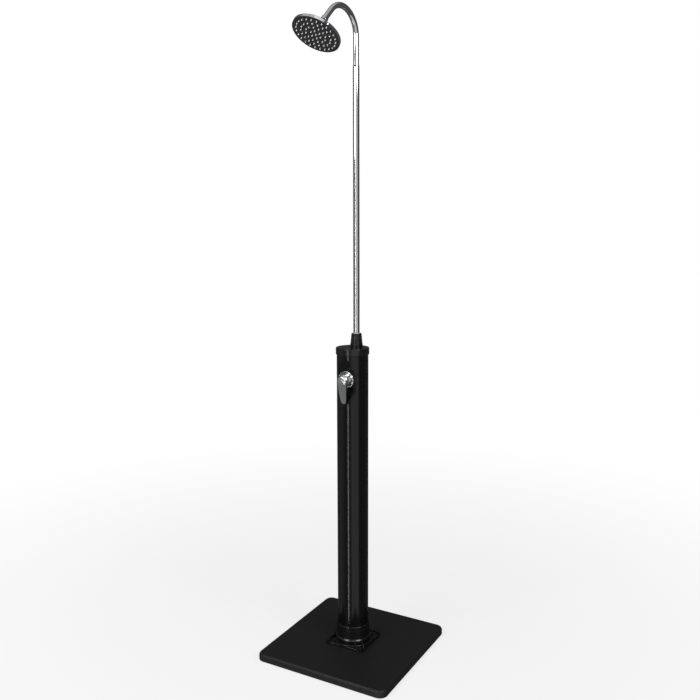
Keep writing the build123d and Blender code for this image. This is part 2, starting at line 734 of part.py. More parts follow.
def escutcheon():
    """Round cover with a raised rim and a dished face, hollow over the nut."""
    low = POCKET_FLOOR
    high = low + ESCUTCHEON_DEPTH
    wall = ESCUTCHEON_WALL
    neck = DOME_R - DOME_NECK + SLIP
    dish = high - ESCUTCHEON_DISH
    rim_r = ESCUTCHEON_R - ESCUTCHEON_RIM
    body = turned(
        [
            (ESCUTCHEON_R, low), (ESCUTCHEON_R, high), (rim_r, high),
            (rim_r - ESCUTCHEON_SLOPE, dish), (neck, dish), (neck, dish - wall),
            (ESCUTCHEON_R - wall, dish - wall), (ESCUTCHEON_R - wall, low),
        ],
        [(1, ESCUTCHEON_ROUND), (2, ESCUTCHEON_ROUND), (3, ESCUTCHEON_ROUND)],
    )
    return MIXER * body


def disc_ports(low, high):
    """Two supply ports and the port of the mixed water, as cutters."""
    supply = ring(SUPPLY_PORT_R, 0, low, high)
    ports = [Pos(x, SUPPLY_PORT_Y, 0) * supply for x in (-SUPPLY_PORT_X, SUPPLY_PORT_X)]
    return ports + [Pos(0, MIXED_PORT_Y, 0) * ring(MIXED_PORT_R, 0, low, high)]


def cartridge_housing():
    """Cup for the discs, with a lip that guides the turret."""
    bore = CARTRIDGE_BORE_R
    body = ring(CARTRIDGE_R, 0, CARTRIDGE_START, CARTRIDGE_END)
    body -= ring(bore, 0, FIXED_DISC_START, CARTRIDGE_END - CARTRIDGE_LIP)
    body -= ring(TURRET_R + RUN_CLEARANCE, 0, CARTRIDGE_END - CARTRIDGE_LIP, CARTRIDGE_END)
    return MIXER * (body - disc_ports(CARTRIDGE_START, FIXED_DISC_START))


def fixed_disc():
    """Ceramic disc with the hot, cold and mixed ports."""
    body = ring(CARTRIDGE_BORE_R - THREAD_CLEARANCE, 0, FIXED_DISC_START, MOVING_DISC_START)
    return MIXER * (body - disc_ports(FIXED_DISC_START, MOVING_DISC_START))


def moving_disc():
    """Ceramic disc with a mixing chamber, off centre at rest by half its stroke."""
    body = ring(MOVING_DISC_R, 0, MOVING_DISC_START, CARRIER_START)
    body -= ring(CHAMBER_R, 0, MOVING_DISC_START, MOVING_DISC_START + CHAMBER_DEPTH)
    return MIXER * (Pos(0, DISC_STROKE / 2, 0) * body)


def disc_carrier():
    """Plastic carrier on the moving disc, with the slot that the stem's tip drives."""
    body = Pos(0, DISC_STROKE / 2, 0) * ring(MOVING_DISC_R, 0, CARRIER_START, CARRIER_START + CARRIER_THICKNESS)
    slot = Pos(0, 0, CARRIER_START + CARRIER_THICKNESS / 2) * Box(
        2 * (STEM_TIP_R + STEM_SIDE_PLAY), 2 * (STEM_TIP_R + STEM_TIP_PLAY), CARRIER_THICKNESS)
    return MIXER * (body - slot)


def turret():
    """Rotor that carries the pivot pin and turns for temperature."""
    low = CARRIER_START + CARRIER_THICKNESS + TURRET_GAP
    body = ring(TURRET_R, 0, low, TURRET_TOP)
    body -= Pos(0, 0, (low + TURRET_TOP) / 2) * Box(
        2 * (STEM_EYE_R + STEM_SIDE_PLAY), TURRET_SLOT, TURRET_TOP - low)
    body -= Pos(0, 0, PIVOT) * (Rot(0, 90, 0) * Cylinder(PIVOT_PIN_R + THREAD_CLEARANCE, 2 * TURRET_R))
    return MIXER * body


def turret_pin():
    return MIXER * (Pos(0, 0, PIVOT) * (Rot(0, 90, 0) * Cylinder(PIVOT_PIN_R, 2 * TURRET_R - PASS)))


def cartridge_nut():
    """Cap nut over the neck that holds the cartridge down."""
    body = ring(NUT_R, VALVE_NECK_R + THREAD_CLEARANCE, VALVE_NECK_END - NUT_SKIRT_LENGTH, VALVE_NECK_END)
    body += ring(NUT_R, TURRET_R + TURRET_GAP, VALVE_NECK_END, VALVE_NECK_END + NUT_FLANGE)
    return MIXER * body


def dome_cover():
    """Chrome dome around the pivot: a short neck, then a sphere open at the front."""
    neck = DOME_R - DOME_NECK
    foot = POCKET_FLOOR + ESCUTCHEON_DEPTH - ESCUTCHEON_DISH - ESCUTCHEON_WALL
    outer = Pos(0, 0, PIVOT) * Sphere(DOME_R) + ring(neck, 0, foot, DOME_NECK_END)
    inner = Pos(0, 0, PIVOT) * Sphere(DOME_R - DOME_WALL)
    inner += ring(NUT_R + THREAD_CLEARANCE, 0, foot, VALVE_NECK_END + NUT_FLANGE)
    opening = DOME_R * math.sin(math.radians(DOME_OPENING))
    body = outer - inner - ring(opening, 0, PIVOT, PIVOT + DOME_R + PASS)
    below = ring(2 * DOME_R, 0, foot - DOME_R, foot)
    return MIXER * (body - below)


# Lever, drawn in the mixer's plane: x across, y up, z outward

def lever_blade():
    """Paddle: the front outline and the side profile intersected."""
    mid = -LEVER_MID
    root = -LEVER_ROOT
    low = -LEVER_REACH + LEVER_END_BOW
    front = make_face(
        ThreePointArc((-LEVER_ROOT_HALF, root), (-LEVER_MID_HALF, mid), (-LEVER_TIP_HALF, low))
        + ThreePointArc((-LEVER_TIP_HALF, low), (0, -LEVER_REACH), (LEVER_TIP_HALF, low))
        + ThreePointArc((LEVER_TIP_HALF, low), (LEVER_MID_HALF, mid), (LEVER_ROOT_HALF, root))
        + Line((LEVER_ROOT_HALF, root), (-LEVER_ROOT_HALF, root))
    )
    tall = extrude(front, 2 * HUB_FRONT)
    end = -LEVER_REACH - PASS
    side_plane = Plane(origin=(0, 0, 0), x_dir=(0, 0, 1), z_dir=(-1, 0, 0))
    back_root = LEVER_ROOT_FRONT - LEVER_ROOT_THICKNESS
    back_tip = LEVER_TIP_FRONT - LEVER_TIP_THICKNESS
    side = make_face(
        ThreePointArc((LEVER_ROOT_FRONT, root), (LEVER_MID_FRONT, mid), (LEVER_TIP_FRONT, end))
        + Line((LEVER_TIP_FRONT, end), (back_tip, end))
        + ThreePointArc((back_tip, end), ((back_tip + back_root) / 2 + LEVER_BACK_BOW, mid), (back_root, root))
        + Line((back_root, root), (LEVER_ROOT_FRONT, root))
    )
    return tall & extrude(side_plane * side, 2 * LEVER_ROOT_HALF, both=True)


def lever_handle():
    """Hub over the dome with a downward paddle, a stem boss and a screw recess."""
    hub = turned(
        [(0, PIVOT - HUB_BACK), (HUB_R, PIVOT - HUB_BACK), (HUB_R, HUB_SHOULDER),
         (HUB_FRONT_R, HUB_FRONT - HUB_CROWN), (0, HUB_FRONT)],
        [(2, HUB_ROUND), (3, HUB_ROUND)],
    )
    body = hub + lever_blade()
    cavity = Pos(0, 0, PIVOT) * Sphere(CAVITY_R) + ring(CAVITY_R, 0, PIVOT - CAVITY_R, PIVOT)
    rim = Pos(0, 0, PIVOT + HUB_RIM_OFFSET) * (Rot(HUB_RIM_SLOPE, 0, 0) * Pos(0, 0, -HUB_R))
    body = body - cavity - rim * Box(4 * LEVER_REACH, 4 * LEVER_REACH, 2 * HUB_R)
    boss = ring(BOSS_R, 0, BOSS_START, PIVOT + CAVITY_R)
    body += boss
    body -= ring(STEM_R + THREAD_CLEARANCE, 0, BOSS_START, STEM_TOP)
    body -= ring(SCREW_R + SCREW_PLAY, 0, STEM_TOP, SCREW_HEAD_Z)
    body -= ring(CAP_R, 0, SCREW_HEAD_Z, HUB_FRONT + PASS)
    return MIXER * body


def lever_stem():
    """Stem through the dome: a driving tip, an eye on the pivot pin and a tapped top."""
    tip = PIVOT - STEM_ARM
    body = Pos(0, 0, PIVOT) * Sphere(STEM_EYE_R)
    body += ring(STEM_WAIST_R, 0, tip, PIVOT)
    body += Pos(0, 0, tip) * Sphere(STEM_TIP_R)
    body += ring(STEM_R, 0, PIVOT, STEM_TOP)
    body -= Pos(0, 0, PIVOT) * (Rot(0, 90, 0) * Cylinder(PIVOT_PIN_R + RUN_CLEARANCE, 2 * STEM_EYE_R))
    body -= ring(SCREW_R + THREAD_CLEARANCE, 0, STEM_TOP - SCREW_HOLE, STEM_TOP)
    return MIXER * body


def handle_screw():
    low = SCREW_HEAD_Z
    body = ring(SCREW_R, 0, STEM_TOP - SCREW_LENGTH, low) + ring(SCREW_HEAD_R, 0, low, low + SCREW_HEAD)
    body -= Pos(0, 0, low) * extrude(RegularPolygon(SCREW_KEY_R, 6), SCREW_HEAD)
    return MIXER * body


def handle_cap():
    """Plain round plug that closes the screw recess, slightly crowned."""
    low = HUB_FRONT - HANDLE_CAP
    radius = CAP_R - THREAD_CLEARANCE
    return MIXER * turned([(0, low), (radius, low), (radius, HUB_FRONT - HANDLE_CAP_CROWN), (0, HUB_FRONT)])


# Union and riser

def union_base():
    """Notched ring on the cap with a spigot below and a socket for the riser above."""
    low = CAP_UNDERSIDE_Z - UNION_LOCKNUT - UNION_SPIGOT_END
    ring_top = CAP_TOP_Z + UNION_RING_HEIGHT
    body = ring(UNION_RING_R, 0, CAP_TOP_Z, ring_top)
    for k in range(UNION_NOTCHES):
        notch = Pos(UNION_RING_R, 0, ring_top - UNION_NOTCH_HEIGHT / 2) * Box(
            2 * UNION_NOTCH_DEPTH, UNION_NOTCH_WIDTH, UNION_NOTCH_HEIGHT)
        body -= Rot(0, 0, 360 / UNION_NOTCHES * k) * notch
    body += ring(UNION_SPIGOT_R, 0, low, CAP_TOP_Z)
    body += ring(STUB_R, 0, ring_top, ring_top + UNION_STUB_HEIGHT)
    body -= ring(RISER_R + RUN_CLEARANCE, 0, RISER_BOTTOM_Z, ring_top + UNION_STUB_HEIGHT)
    body -= ring(PIPE_R + THREAD_CLEARANCE, 0, low, RISER_BOTTOM_Z)
    return Pos(0, UNION_Y, 0) * body


def union_locknut():
    low = CAP_UNDERSIDE_Z - UNION_LOCKNUT
    nut = hexagon(UNION_LOCKNUT_FLATS, UNION_SPIGOT_R + THREAD_CLEARANCE, low, CAP_UNDERSIDE_Z)
    return Pos(0, UNION_Y, 0) * nut


def union_nut():
    """Tapered nut with grip ribs over the riser's gland."""
    low = CAP_TOP_Z + UNION_RING_HEIGHT
    high = low + UNION_NUT_HEIGHT
    gland_top = low + UNION_STUB_HEIGHT + GLAND_HEIGHT
    mouth_r = RISER_R + RUN_CLEARANCE + GRIP_WALL
    body = turned(
        [
            (STUB_R + THREAD_CLEARANCE, low), (UNION_NUT_BOTTOM_R, low), (UNION_NUT_TOP_R, high),
            (mouth_r, high), (mouth_r, gland_top), (STUB_R + THREAD_CLEARANCE, gland_top),
        ],
        [(2, UNION_NUT_EDGE_R)],
    )
    lean = math.degrees(math.atan((UNION_NUT_BOTTOM_R - UNION_NUT_TOP_R) / UNION_NUT_HEIGHT))
    for k in range(UNION_RIBS):
        groove = Rot(0, -lean, 0) * Cylinder(UNION_RIB_R, UNION_RIB_LENGTH)
        middle = (UNION_NUT_BOTTOM_R + UNION_NUT_TOP_R) / 2 + UNION_RIB_OFFSET
        body -= Rot(0, 0, 360 / UNION_RIBS * k) * (Pos(middle, 0, (low + high) / 2) * groove)
    return Pos(0, UNION_Y, 0) * body


def gland_seal():
    low = CAP_TOP_Z + UNION_RING_HEIGHT + UNION_STUB_HEIGHT
    return Pos(0, UNION_Y, 0) * ring(STUB_R, RISER_R + RUN_CLEARANCE, low, low + GLAND_HEIGHT)


def grip_ring():
    """Pale ring that shows round the riser at the top of the nut."""
    high = CAP_TOP_Z + UNION_RING_HEIGHT + UNION_NUT_HEIGHT
    outer = RISER_R + RUN_CLEARANCE + GRIP_WALL - THREAD_CLEARANCE
    body = turned([
        (RISER_R + RUN_CLEARANCE, high - GRIP_HEIGHT), (outer, high - GRIP_HEIGHT), (outer, high),
        (outer - GRIP_EDGE, high + GRIP_SHOWS), (RISER_R + RUN_CLEARANCE, high + GRIP_SHOWS),
    ])
    return Pos(0, UNION_Y, 0) * body


def riser_tube():
    return Pos(0, UNION_Y, 0) * ring(RISER_R, RISER_R - RISER_WALL, RISER_BOTTOM_Z, RISER_TOP_Z)


def riser_coupler():
    """Sleeve on top of the riser: a spigot down into it, a socket for the arm above."""
    spigot_r = RISER_R - RISER_WALL - THREAD_CLEARANCE
    socket_r = ARM_R + THREAD_CLEARANCE
    socket_z = COUPLER_TOP_Z - COUPLER_SOCKET
    bore = spigot_r - COUPLER_WALL
    body = turned([
        (bore, RISER_TOP_Z - COUPLER_SPIGOT), (spigot_r, RISER_TOP_Z - COUPLER_SPIGOT),
        (spigot_r, RISER_TOP_Z), (RISER_R - SEAM_DEPTH, RISER_TOP_Z), (RISER_R, RISER_TOP_Z + SEAM_HEIGHT),
        (RISER_R, COUPLER_TOP_Z - COUPLER_CONE), (socket_r + COUPLER_LIP, COUPLER_TOP_Z),
        (socket_r, COUPLER_TOP_Z), (socket_r, socket_z), (bore, socket_z),
    ])
    return Pos(0, UNION_Y, 0) * body


def gooseneck_arm():
    """Bent tube from the coupler's socket to the ferrule."""
    bend = math.radians(ARM_BEND)
    start = COUPLER_TOP_Z - COUPLER_SOCKET
    straight = ARM_TO_BALL - FERRULE_GAP - FERRULE_LENGTH + FERRULE_SOCKET
    out = ARM_BEND_R * (1 - math.cos(bend))
    up = ARM_BEND_START_Z + ARM_BEND_R * math.sin(bend)
    arc_end = (out, up)
    arc_mid = (ARM_BEND_R * (1 - math.cos(bend / 2)), ARM_BEND_START_Z + ARM_BEND_R * math.sin(bend / 2))
    tip = (out + straight * math.sin(bend), up + straight * math.cos(bend))
    route = (
        Line((0, start), (0, ARM_BEND_START_Z))
        + ThreePointArc((0, ARM_BEND_START_Z), arc_mid, arc_end)
        + Line(arc_end, tip)
    )
    path = ARM_PLANE * route
    section = Circle(ARM_R) - Circle(ARM_R - ARM_WALL)
    return sweep(Pos(0, UNION_Y, start) * section, path=path)


def arm_ferrule():
    """Chrome sleeve on the end of the arm that holds the ball's stem."""
    low = FERRULE_GAP
    high = low + FERRULE_LENGTH
    body = turned(
        [(BALL_NECK_R + THREAD_CLEARANCE, low), (FERRULE_R, low), (FERRULE_R, high),
         (ARM_R + THREAD_CLEARANCE, high), (ARM_R + THREAD_CLEARANCE, high - FERRULE_SOCKET),
         (BALL_NECK_R + THREAD_CLEARANCE, high - FERRULE_SOCKET)],
        [(1, FERRULE_ROUND), (2, FERRULE_ROUND)],
    )
    return ARM_END * body


def swivel_ball():
    """Ball with its neck, bored for the water."""
    neck = FERRULE_GAP + FERRULE_LENGTH - FERRULE_SOCKET
    body = Sphere(BALL_R) + ring(BALL_NECK_R, 0, 0, neck)
    return ARM_END * (body - ring(BALL_BORE_R, 0, -BALL_R - PASS, neck + PASS))


# Rain head, drawn with its face at z = 0 and the ball above it

def ball_seal():
    """Rubber band round the middle of the ball, square to the arm in sway, so it fits at every angle."""
    across = -ARM_AXIS.dot(HEAD.x_dir)
    along = -ARM_AXIS.dot(HEAD.z_dir)
    band_plane = Plane(origin=BALL_CENTRE, z_dir=HEAD.x_dir * across + HEAD.z_dir * along)
    band = (Sphere(SEAL_R) & ring(SEAL_R + PASS, 0, -SEAL_HALF, SEAL_HALF)) - Sphere(BALL_ROOM_R)
    return band_plane * band


def thrust_ring():
    """Hard seat under the ball, on the neck of the shell."""
    outer = SWIVEL_BORE_R - SEAT_CLEARANCE
    body = ring(outer, WATERWAY_R, SHELL_NECK_Z - THRUST_HEIGHT, BALL_TO_FACE - THRUST_TOP)
    return HEAD * (body - Pos(0, 0, BALL_TO_FACE) * Sphere(BALL_ROOM_R))


def swivel_nut():
    """Round nut with shallow flats whose lip keeps the ball in."""
    low = SHELL_BACK_Z + SWIVEL_GAP
    lip = BALL_TO_FACE + SWIVEL_LIP
    step = BALL_TO_FACE - THRUST_TOP + SEAT_CLEARANCE
    high = BALL_TO_FACE + SWIVEL_NUT_TOP
    lip_r = math.sqrt(BALL_ROOM_R ** 2 - SWIVEL_LIP ** 2)
    body = turned(
        [
            (SWIVEL_BORE_R, low), (SWIVEL_NUT_R, low), (SWIVEL_NUT_R, high), (lip_r + SWIVEL_MOUTH, high),
            (lip_r, lip), (lip_r, step), (SWIVEL_BORE_R, step),
        ],
        [(1, SWIVEL_LOWER_EDGE), (2, SWIVEL_UPPER_EDGE)],
    )
    body -= Pos(0, 0, BALL_TO_FACE) * Sphere(BALL_ROOM_R)
    seal_room = Pos(0, 0, BALL_TO_FACE) * Sphere(SEAL_R + SEAT_CLEARANCE)
    body -= seal_room & ring(SWIVEL_NUT_R, 0, step - PASS, BALL_TO_FACE + SEAL_ROOM)
    for k in range(SWIVEL_FLATS):
        flat = Pos(SWIVEL_NUT_R - SWIVEL_FLAT_DEPTH + FAR / 2, 0, low + SWIVEL_FLAT_MIDDLE) * Box(
            FAR, FAR, SWIVEL_FLAT_HEIGHT)
        body -= Rot(0, 0, 360 / SWIVEL_FLATS * k) * flat
    return HEAD * body


def head_shell():
    """Chrome back: upright rim, shallow cone and threaded neck."""
    inner = SWIVEL_BORE_R - THREAD_CLEARANCE
    wall = SHELL_WALL
    neck_top = SHELL_NECK_Z - THRUST_HEIGHT
    body = turned(
        [
            (WATERWAY_R, SHELL_BACK_Z - wall), (SHELL_BACK_R, SHELL_BACK_Z - wall),
            (SHELL_R - wall, SHELL_RIM - wall), (SHELL_R - wall, 0), (SHELL_R, 0),
            (SHELL_R, SHELL_RIM), (SHELL_BACK_R, SHELL_BACK_Z), (inner, SHELL_BACK_Z),
            (inner, neck_top), (WATERWAY_R, neck_top),
        ],
        [(5, SHELL_RIM_R), (6, SHELL_BLEND_R)],
    )
    return HEAD * body


def nozzle_places():
    """Centres of the nozzles: one in the middle and rings of 6, 12, 18 and 24."""
    places = [(0.0, 0.0)]
    for number in range(1, NOZZLE_RINGS + 1):
        count = 6 * number
        for k in range(count):
            angle = 2 * math.pi * k / count
            radius = NOZZLE_PITCH * number
            places.append((radius * math.cos(angle), radius * math.sin(angle)))
    return places


def face_plate():
    """Front plate with a hole for each nozzle."""
    outline = Circle(FACE_R)
    hole = NOZZLE_R + NOZZLE_CLEARANCE
    outline -= [Pos(x, y) * Circle(hole) for x, y in nozzle_places()]
    return HEAD * extrude(outline, FACE_THICKNESS)


def nozzle_mat():
    """Soft mat behind the plate with its tapered nozzles."""
    low = FACE_THICKNESS
    body = ring(FACE_R, 0, low, low + MAT_THICKNESS)
    root = NOZZLE_LENGTH + low
    cone = Pos(0, 0, low - root / 2) * Cone(NOZZLE_TIP_R, NOZZLE_R, root)
    body += [Pos(x, y, 0) * cone for x, y in nozzle_places()]
    return HEAD * body


def face_seal():
    """Bead between the plate and the rim of the shell."""
    return HEAD * ring(
        SHELL_R - SHELL_WALL - THREAD_CLEARANCE, FACE_R, FACE_SEAL_SETBACK, FACE_THICKNESS + MAT_THICKNESS)


PIECES = {
    "base_cover": base_cover,
    "base_ballast": base_ballast,
    "rubber_feet": rubber_feet,
    "anchor_sleeves": anchor_sleeves,
    "tank_foot": tank_foot,
    "foot_washers": foot_washers,
    "foot_bolts": foot_bolts,
    "tank_tube": tank_tube,
    "bottom_plug": bottom_plug,
    "plug_seal": plug_seal,
    "top_cap": top_cap,
    "cap_seal": cap_seal,
    "hose_inlet": hose_inlet,
    "inlet_gasket": lambda: saddle(INLET_Z, INLET_FLANGE_R, INLET_THREAD_R + SLIP, INLET_SEAT),
    "inlet_locknut": inlet_locknut,
    "drain_plug": drain_plug,
    "drain_washer": lambda: saddle(DRAIN_Z, DRAIN_HEAD_FLATS / 2, DRAIN_THREAD_R + SLIP, DRAIN_SEAT),
    "inlet_tee": inlet_tee,
    "cold_pipe": cold_pipe,
    "outlet_pipe": outlet_pipe,
    "hot_pipe": hot_pipe,
    "valve_body": valve_body,
    "valve_gasket": valve_gasket,
    "valve_nut": valve_nut,
    "escutcheon": escutcheon,
    "cartridge_housing": cartridge_housing,
    "fixed_disc": fixed_disc,
    "moving_disc": moving_disc,
    "disc_carrier": disc_carrier,
    "turret": turret,
    "turret_pin": turret_pin,
    "cartridge_nut": cartridge_nut,
    "dome_cover": dome_cover,
    "lever_handle": lever_handle,
    "lever_stem": lever_stem,
    "handle_screw": handle_screw,
    "handle_cap": handle_cap,
    "union_base": union_base,
    "union_locknut": union_locknut,
    "union_nut": union_nut,
    "gland_seal": gland_seal,
    "grip_ring": grip_ring,
    "riser_tube": riser_tube,
    "riser_coupler": riser_coupler,
    "gooseneck_arm": gooseneck_arm,
    "arm_ferrule": arm_ferrule,
    "swivel_ball": swivel_ball,
    "ball_seal": ball_seal,
    "thrust_ring": thrust_ring,
    "swivel_nut": swivel_nut,
    "head_shell": head_shell,
    "face_plate": face_plate,
    "nozzle_mat": nozzle_mat,
    "face_seal": face_seal,
}


def solids_of(made):
    """All solids of one piece, or of a list of repeats."""
    parts = made if isinstance(made, list) else [made]
    return [solid for part in parts for solid in part.solids()]


os.makedirs("parts", exist_ok=True)
for name, make in PIECES.items():
    found = solids_of(make())
    shape = found[0] if len(found) == 1 else Compound(children=found)
    export_step(shape, f"parts/{name}.step")
    print(name, len(found), round(sum(solid.volume for solid in found) / 1000, 2), "cm3")
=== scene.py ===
import math

import bpy
from mathutils import Matrix, Vector

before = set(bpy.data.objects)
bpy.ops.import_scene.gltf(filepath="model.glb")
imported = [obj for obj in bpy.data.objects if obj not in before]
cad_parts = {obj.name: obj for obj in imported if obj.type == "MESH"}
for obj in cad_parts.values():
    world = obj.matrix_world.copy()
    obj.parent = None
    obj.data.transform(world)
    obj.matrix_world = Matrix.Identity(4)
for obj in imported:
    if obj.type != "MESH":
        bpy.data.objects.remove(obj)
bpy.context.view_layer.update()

# Looks for the solar outdoor shower, in metres and in the part's own frame.
# Every node of the part shows its own solid.  This script gives each one its
# material and sets up the camera, the light and the floor.

# Camera, fitted to the photograph: focal length in its pixels, then metres and degrees
FOCAL_PX = 816.5
PHOTO_PX = 700
SENSOR = 36.0
CAMERA_DISTANCE = 2.7834
CAMERA_HEIGHT = 1.5722
CAMERA_AZIMUTH = 29.17
HEADING = 29.35
PITCH = 9.54
ROLL = -0.16
FAR_CLIP = 60

# Screens of the studio: middle, half width and soft edge in degrees round from +X, then brightness
SCREENS = [
    (-44.0, 27.0, 9.0, 0.66),
    (-92.0, 12.0, 16.0, 0.2),
    (-150.0, 25.0, 14.0, 0.16),
]
WALL_LEVEL = 0.09
CEILING_LEVEL = 0.55
CEILING_FROM = 0.6
CEILING_TO = 1.0

# Lamps: degrees round from +X, distance, height, height aimed at, width and length, watts
LAMPS = {
    "left_strip": (-93.0, 3.0, -0.2, -0.2, (0.16, 5.6), 28),
    "key": (-20.0, 3.4, 3.2, 0.7, (1.6, 1.6), 60),
    "front": (-110.0, 3.0, 2.6, 1.0, (1.4, 1.4), 45),
}

# Floor: half its side, and how its own white takes over from the shadow
FLOOR_HALF = 9
SHADOW_REACH = 0.3
SHADOW_END = 3.0
WHITE_NEAR = 0.72
WHITE_FAR = 1.0

# sRGB transfer curve
SRGB_TOE = 0.04045
SRGB_TOE_SLOPE = 12.92
SRGB_OFFSET = 0.055
SRGB_POWER = 2.4


def photo_camera():
    """Camera at the photograph's distance, height and viewing angle."""
    data = bpy.data.cameras.new("photo_camera")
    data.sensor_width = SENSOR
    data.lens = FOCAL_PX / PHOTO_PX * SENSOR
    data.clip_end = FAR_CLIP
    camera = bpy.data.objects.new("photo_camera", data)
    bpy.context.scene.collection.objects.link(camera)
    around = math.radians(CAMERA_AZIMUTH)
    place = Matrix.Translation((
        CAMERA_DISTANCE * math.sin(around),
        -CAMERA_DISTANCE * math.cos(around),
        CAMERA_HEIGHT,
    ))
    heading = Matrix.Rotation(math.radians(HEADING), 4, "Z")
    tilt = Matrix.Rotation(math.radians(90 - PITCH), 4, "X")
    roll = Matrix.Rotation(math.radians(ROLL), 4, "Z")
    camera.matrix_world = place @ heading @ tilt @ roll
    bpy.context.scene.camera = camera


photo_camera()
bpy.context.scene.view_settings.view_transform = "Standard"


def linear(code):
    """sRGB hex to a linear colour with alpha 1."""
    channels = [int(code[i:i + 2], 16) / 255 for i in (1, 3, 5)]
    return [
        c / SRGB_TOE_SLOPE if c <= SRGB_TOE else ((c + SRGB_OFFSET) / (1 + SRGB_OFFSET)) ** SRGB_POWER
        for c in channels
    ] + [1.0]


def per_metre(x_mm, y_mm, z_mm):
    """Scale at which one unit of a pattern is this long in millimetres along x, y and z."""
    return [1000.0 / size for size in (x_mm, y_mm, z_mm)]


def add(tree, kind, links=None, inputs=None, **settings):
    """Adds a node, sets its properties and inputs, and links outputs into it."""
    made = tree.nodes.new(kind)
    for name, value in settings.items():
        setattr(made, name, value)
    for name, value in (inputs or {}).items():
        made.inputs[name].default_value = value
    for name, output in (links or {}).items():
        tree.links.new(output, made.inputs[name])
    return made


def surface(name, colour, rough, **inputs):
    """A material with one shader; returns it with its tree, its shader and the object's coordinates."""
    material = bpy.data.materials.new(name)
    material.use_nodes = True
    tree = material.node_tree
    shader = tree.nodes["Principled BSDF"]
    shader.inputs["Base Color"].default_value = linear(colour)
    shader.inputs["Roughness"].default_value = rough
    for key, value in inputs.items():
        shader.inputs[key.replace("_", " ")].default_value = value
    place = add(tree, "ShaderNodeTexCoord")
    return material, tree, shader, place.outputs["Object"]


# Materials

def pvc_extruded_black():
    """Extruded PVC tube: the die's faint upright waves draw its gloss out into long streaks."""
    material, tree, shader, place = surface(
        "pvc_extruded_black", "#0a0a0b", 0.14, IOR=1.53, Specular_IOR_Level=0.3)
    along = add(tree, "ShaderNodeMapping", {"Vector": place}, {"Scale": per_metre(14, 14, 900)})
    waves = add(tree, "ShaderNodeTexNoise", {"Vector": along.outputs["Vector"]},
                {"Scale": 1.0, "Detail": 1.0, "Roughness": 0.5})
    # The skin's specks are a tenth of this size and would not show
    skin = add(tree, "ShaderNodeMapping", {"Vector": place}, {"Scale": per_metre(3, 3, 14)})
    specks = add(tree, "ShaderNodeTexNoise", {"Vector": skin.outputs["Vector"]},
                 {"Scale": 1.0, "Detail": 2.0, "Roughness": 0.5})
    waved = add(tree, "ShaderNodeBump", {"Height": waves.outputs["Fac"]},
                {"Strength": 1.0, "Distance": 0.00010})
    speckled = add(tree, "ShaderNodeBump", {"Height": specks.outputs["Fac"], "Normal": waved.outputs["Normal"]},
                   {"Strength": 1.0, "Distance": 0.000006})
    gloss = add(tree, "ShaderNodeMapRange", {"Value": specks.outputs["Fac"]}, {"To Min": 0.11, "To Max": 0.19})
    tree.links.new(speckled.outputs["Normal"], shader.inputs["Normal"])
    tree.links.new(gloss.outputs["Result"], shader.inputs["Roughness"])
    return material


def abs_moulded_black():
    """Injection moulded ABS from a polished tool: a soft gloss with a trace of orange peel."""
    material, tree, shader, place = surface(
        "abs_moulded_black", "#0e0e0f", 0.22, IOR=1.54, Specular_IOR_Level=0.42)
    fine = add(tree, "ShaderNodeMapping", {"Vector": place}, {"Scale": per_metre(3.2, 3.2, 3.2)})
    peel = add(tree, "ShaderNodeTexNoise", {"Vector": fine.outputs["Vector"]},
               {"Scale": 1.0, "Detail": 1.0, "Roughness": 0.5})
    broad = add(tree, "ShaderNodeMapping", {"Vector": place}, {"Scale": per_metre(22, 22, 22)})
    flow = add(tree, "ShaderNodeTexNoise", {"Vector": broad.outputs["Vector"]},
               {"Scale": 1.0, "Detail": 1.0, "Roughness": 0.5})
    peeled = add(tree, "ShaderNodeBump", {"Height": peel.outputs["Fac"]},
                 {"Strength": 1.0, "Distance": 0.000012})
    flowed = add(tree, "ShaderNodeBump", {"Height": flow.outputs["Fac"], "Normal": peeled.outputs["Normal"]},
                 {"Strength": 1.0, "Distance": 0.00006})
    gloss = add(tree, "ShaderNodeMapRange", {"Value": flow.outputs["Fac"]}, {"To Min": 0.18, "To Max": 0.28})
    tree.links.new(flowed.outputs["Normal"], shader.inputs["Normal"])
    tree.links.new(gloss.outputs["Result"], shader.inputs["Roughness"])
    return material


def hdpe_rotomoulded_black():
    """Polyethylene skin from a rough mould: matt, with shallow sinks that catch the light unevenly."""
    material, tree, shader, place = surface(
        "hdpe_rotomoulded_black", "#161617", 0.52, IOR=1.51, Specular_IOR_Level=0.3)
    broad = add(tree, "ShaderNodeMapping", {"Vector": place}, {"Scale": per_metre(38, 38, 38)})
    sinks = add(tree, "ShaderNodeTexNoise", {"Vector": broad.outputs["Vector"]},
                {"Scale": 1.0, "Detail": 2.0, "Roughness": 0.5})
    fine = add(tree, "ShaderNodeMapping", {"Vector": place}, {"Scale": per_metre(1.6, 1.6, 1.6)})
    leather = add(tree, "ShaderNodeTexNoise", {"Vector": fine.outputs["Vector"]},
                  {"Scale": 1.0, "Detail": 2.0, "Roughness": 0.5})
    grained = add(tree, "ShaderNodeBump", {"Height": leather.outputs["Fac"]},
                  {"Strength": 1.0, "Distance": 0.00003})
    sunk = add(tree, "ShaderNodeBump", {"Height": sinks.outputs["Fac"], "Normal": grained.outputs["Normal"]},
               {"Strength": 1.0, "Distance": 0.00035})
    gloss = add(tree, "ShaderNodeMapRange", {"Value": sinks.outputs["Fac"]}, {"To Min": 0.42, "To Max": 0.56})
    tree.links.new(sunk.outputs["Normal"], shader.inputs["Normal"])
    tree.links.new(gloss.outputs["Result"], shader.inputs["Roughness"])
    return material


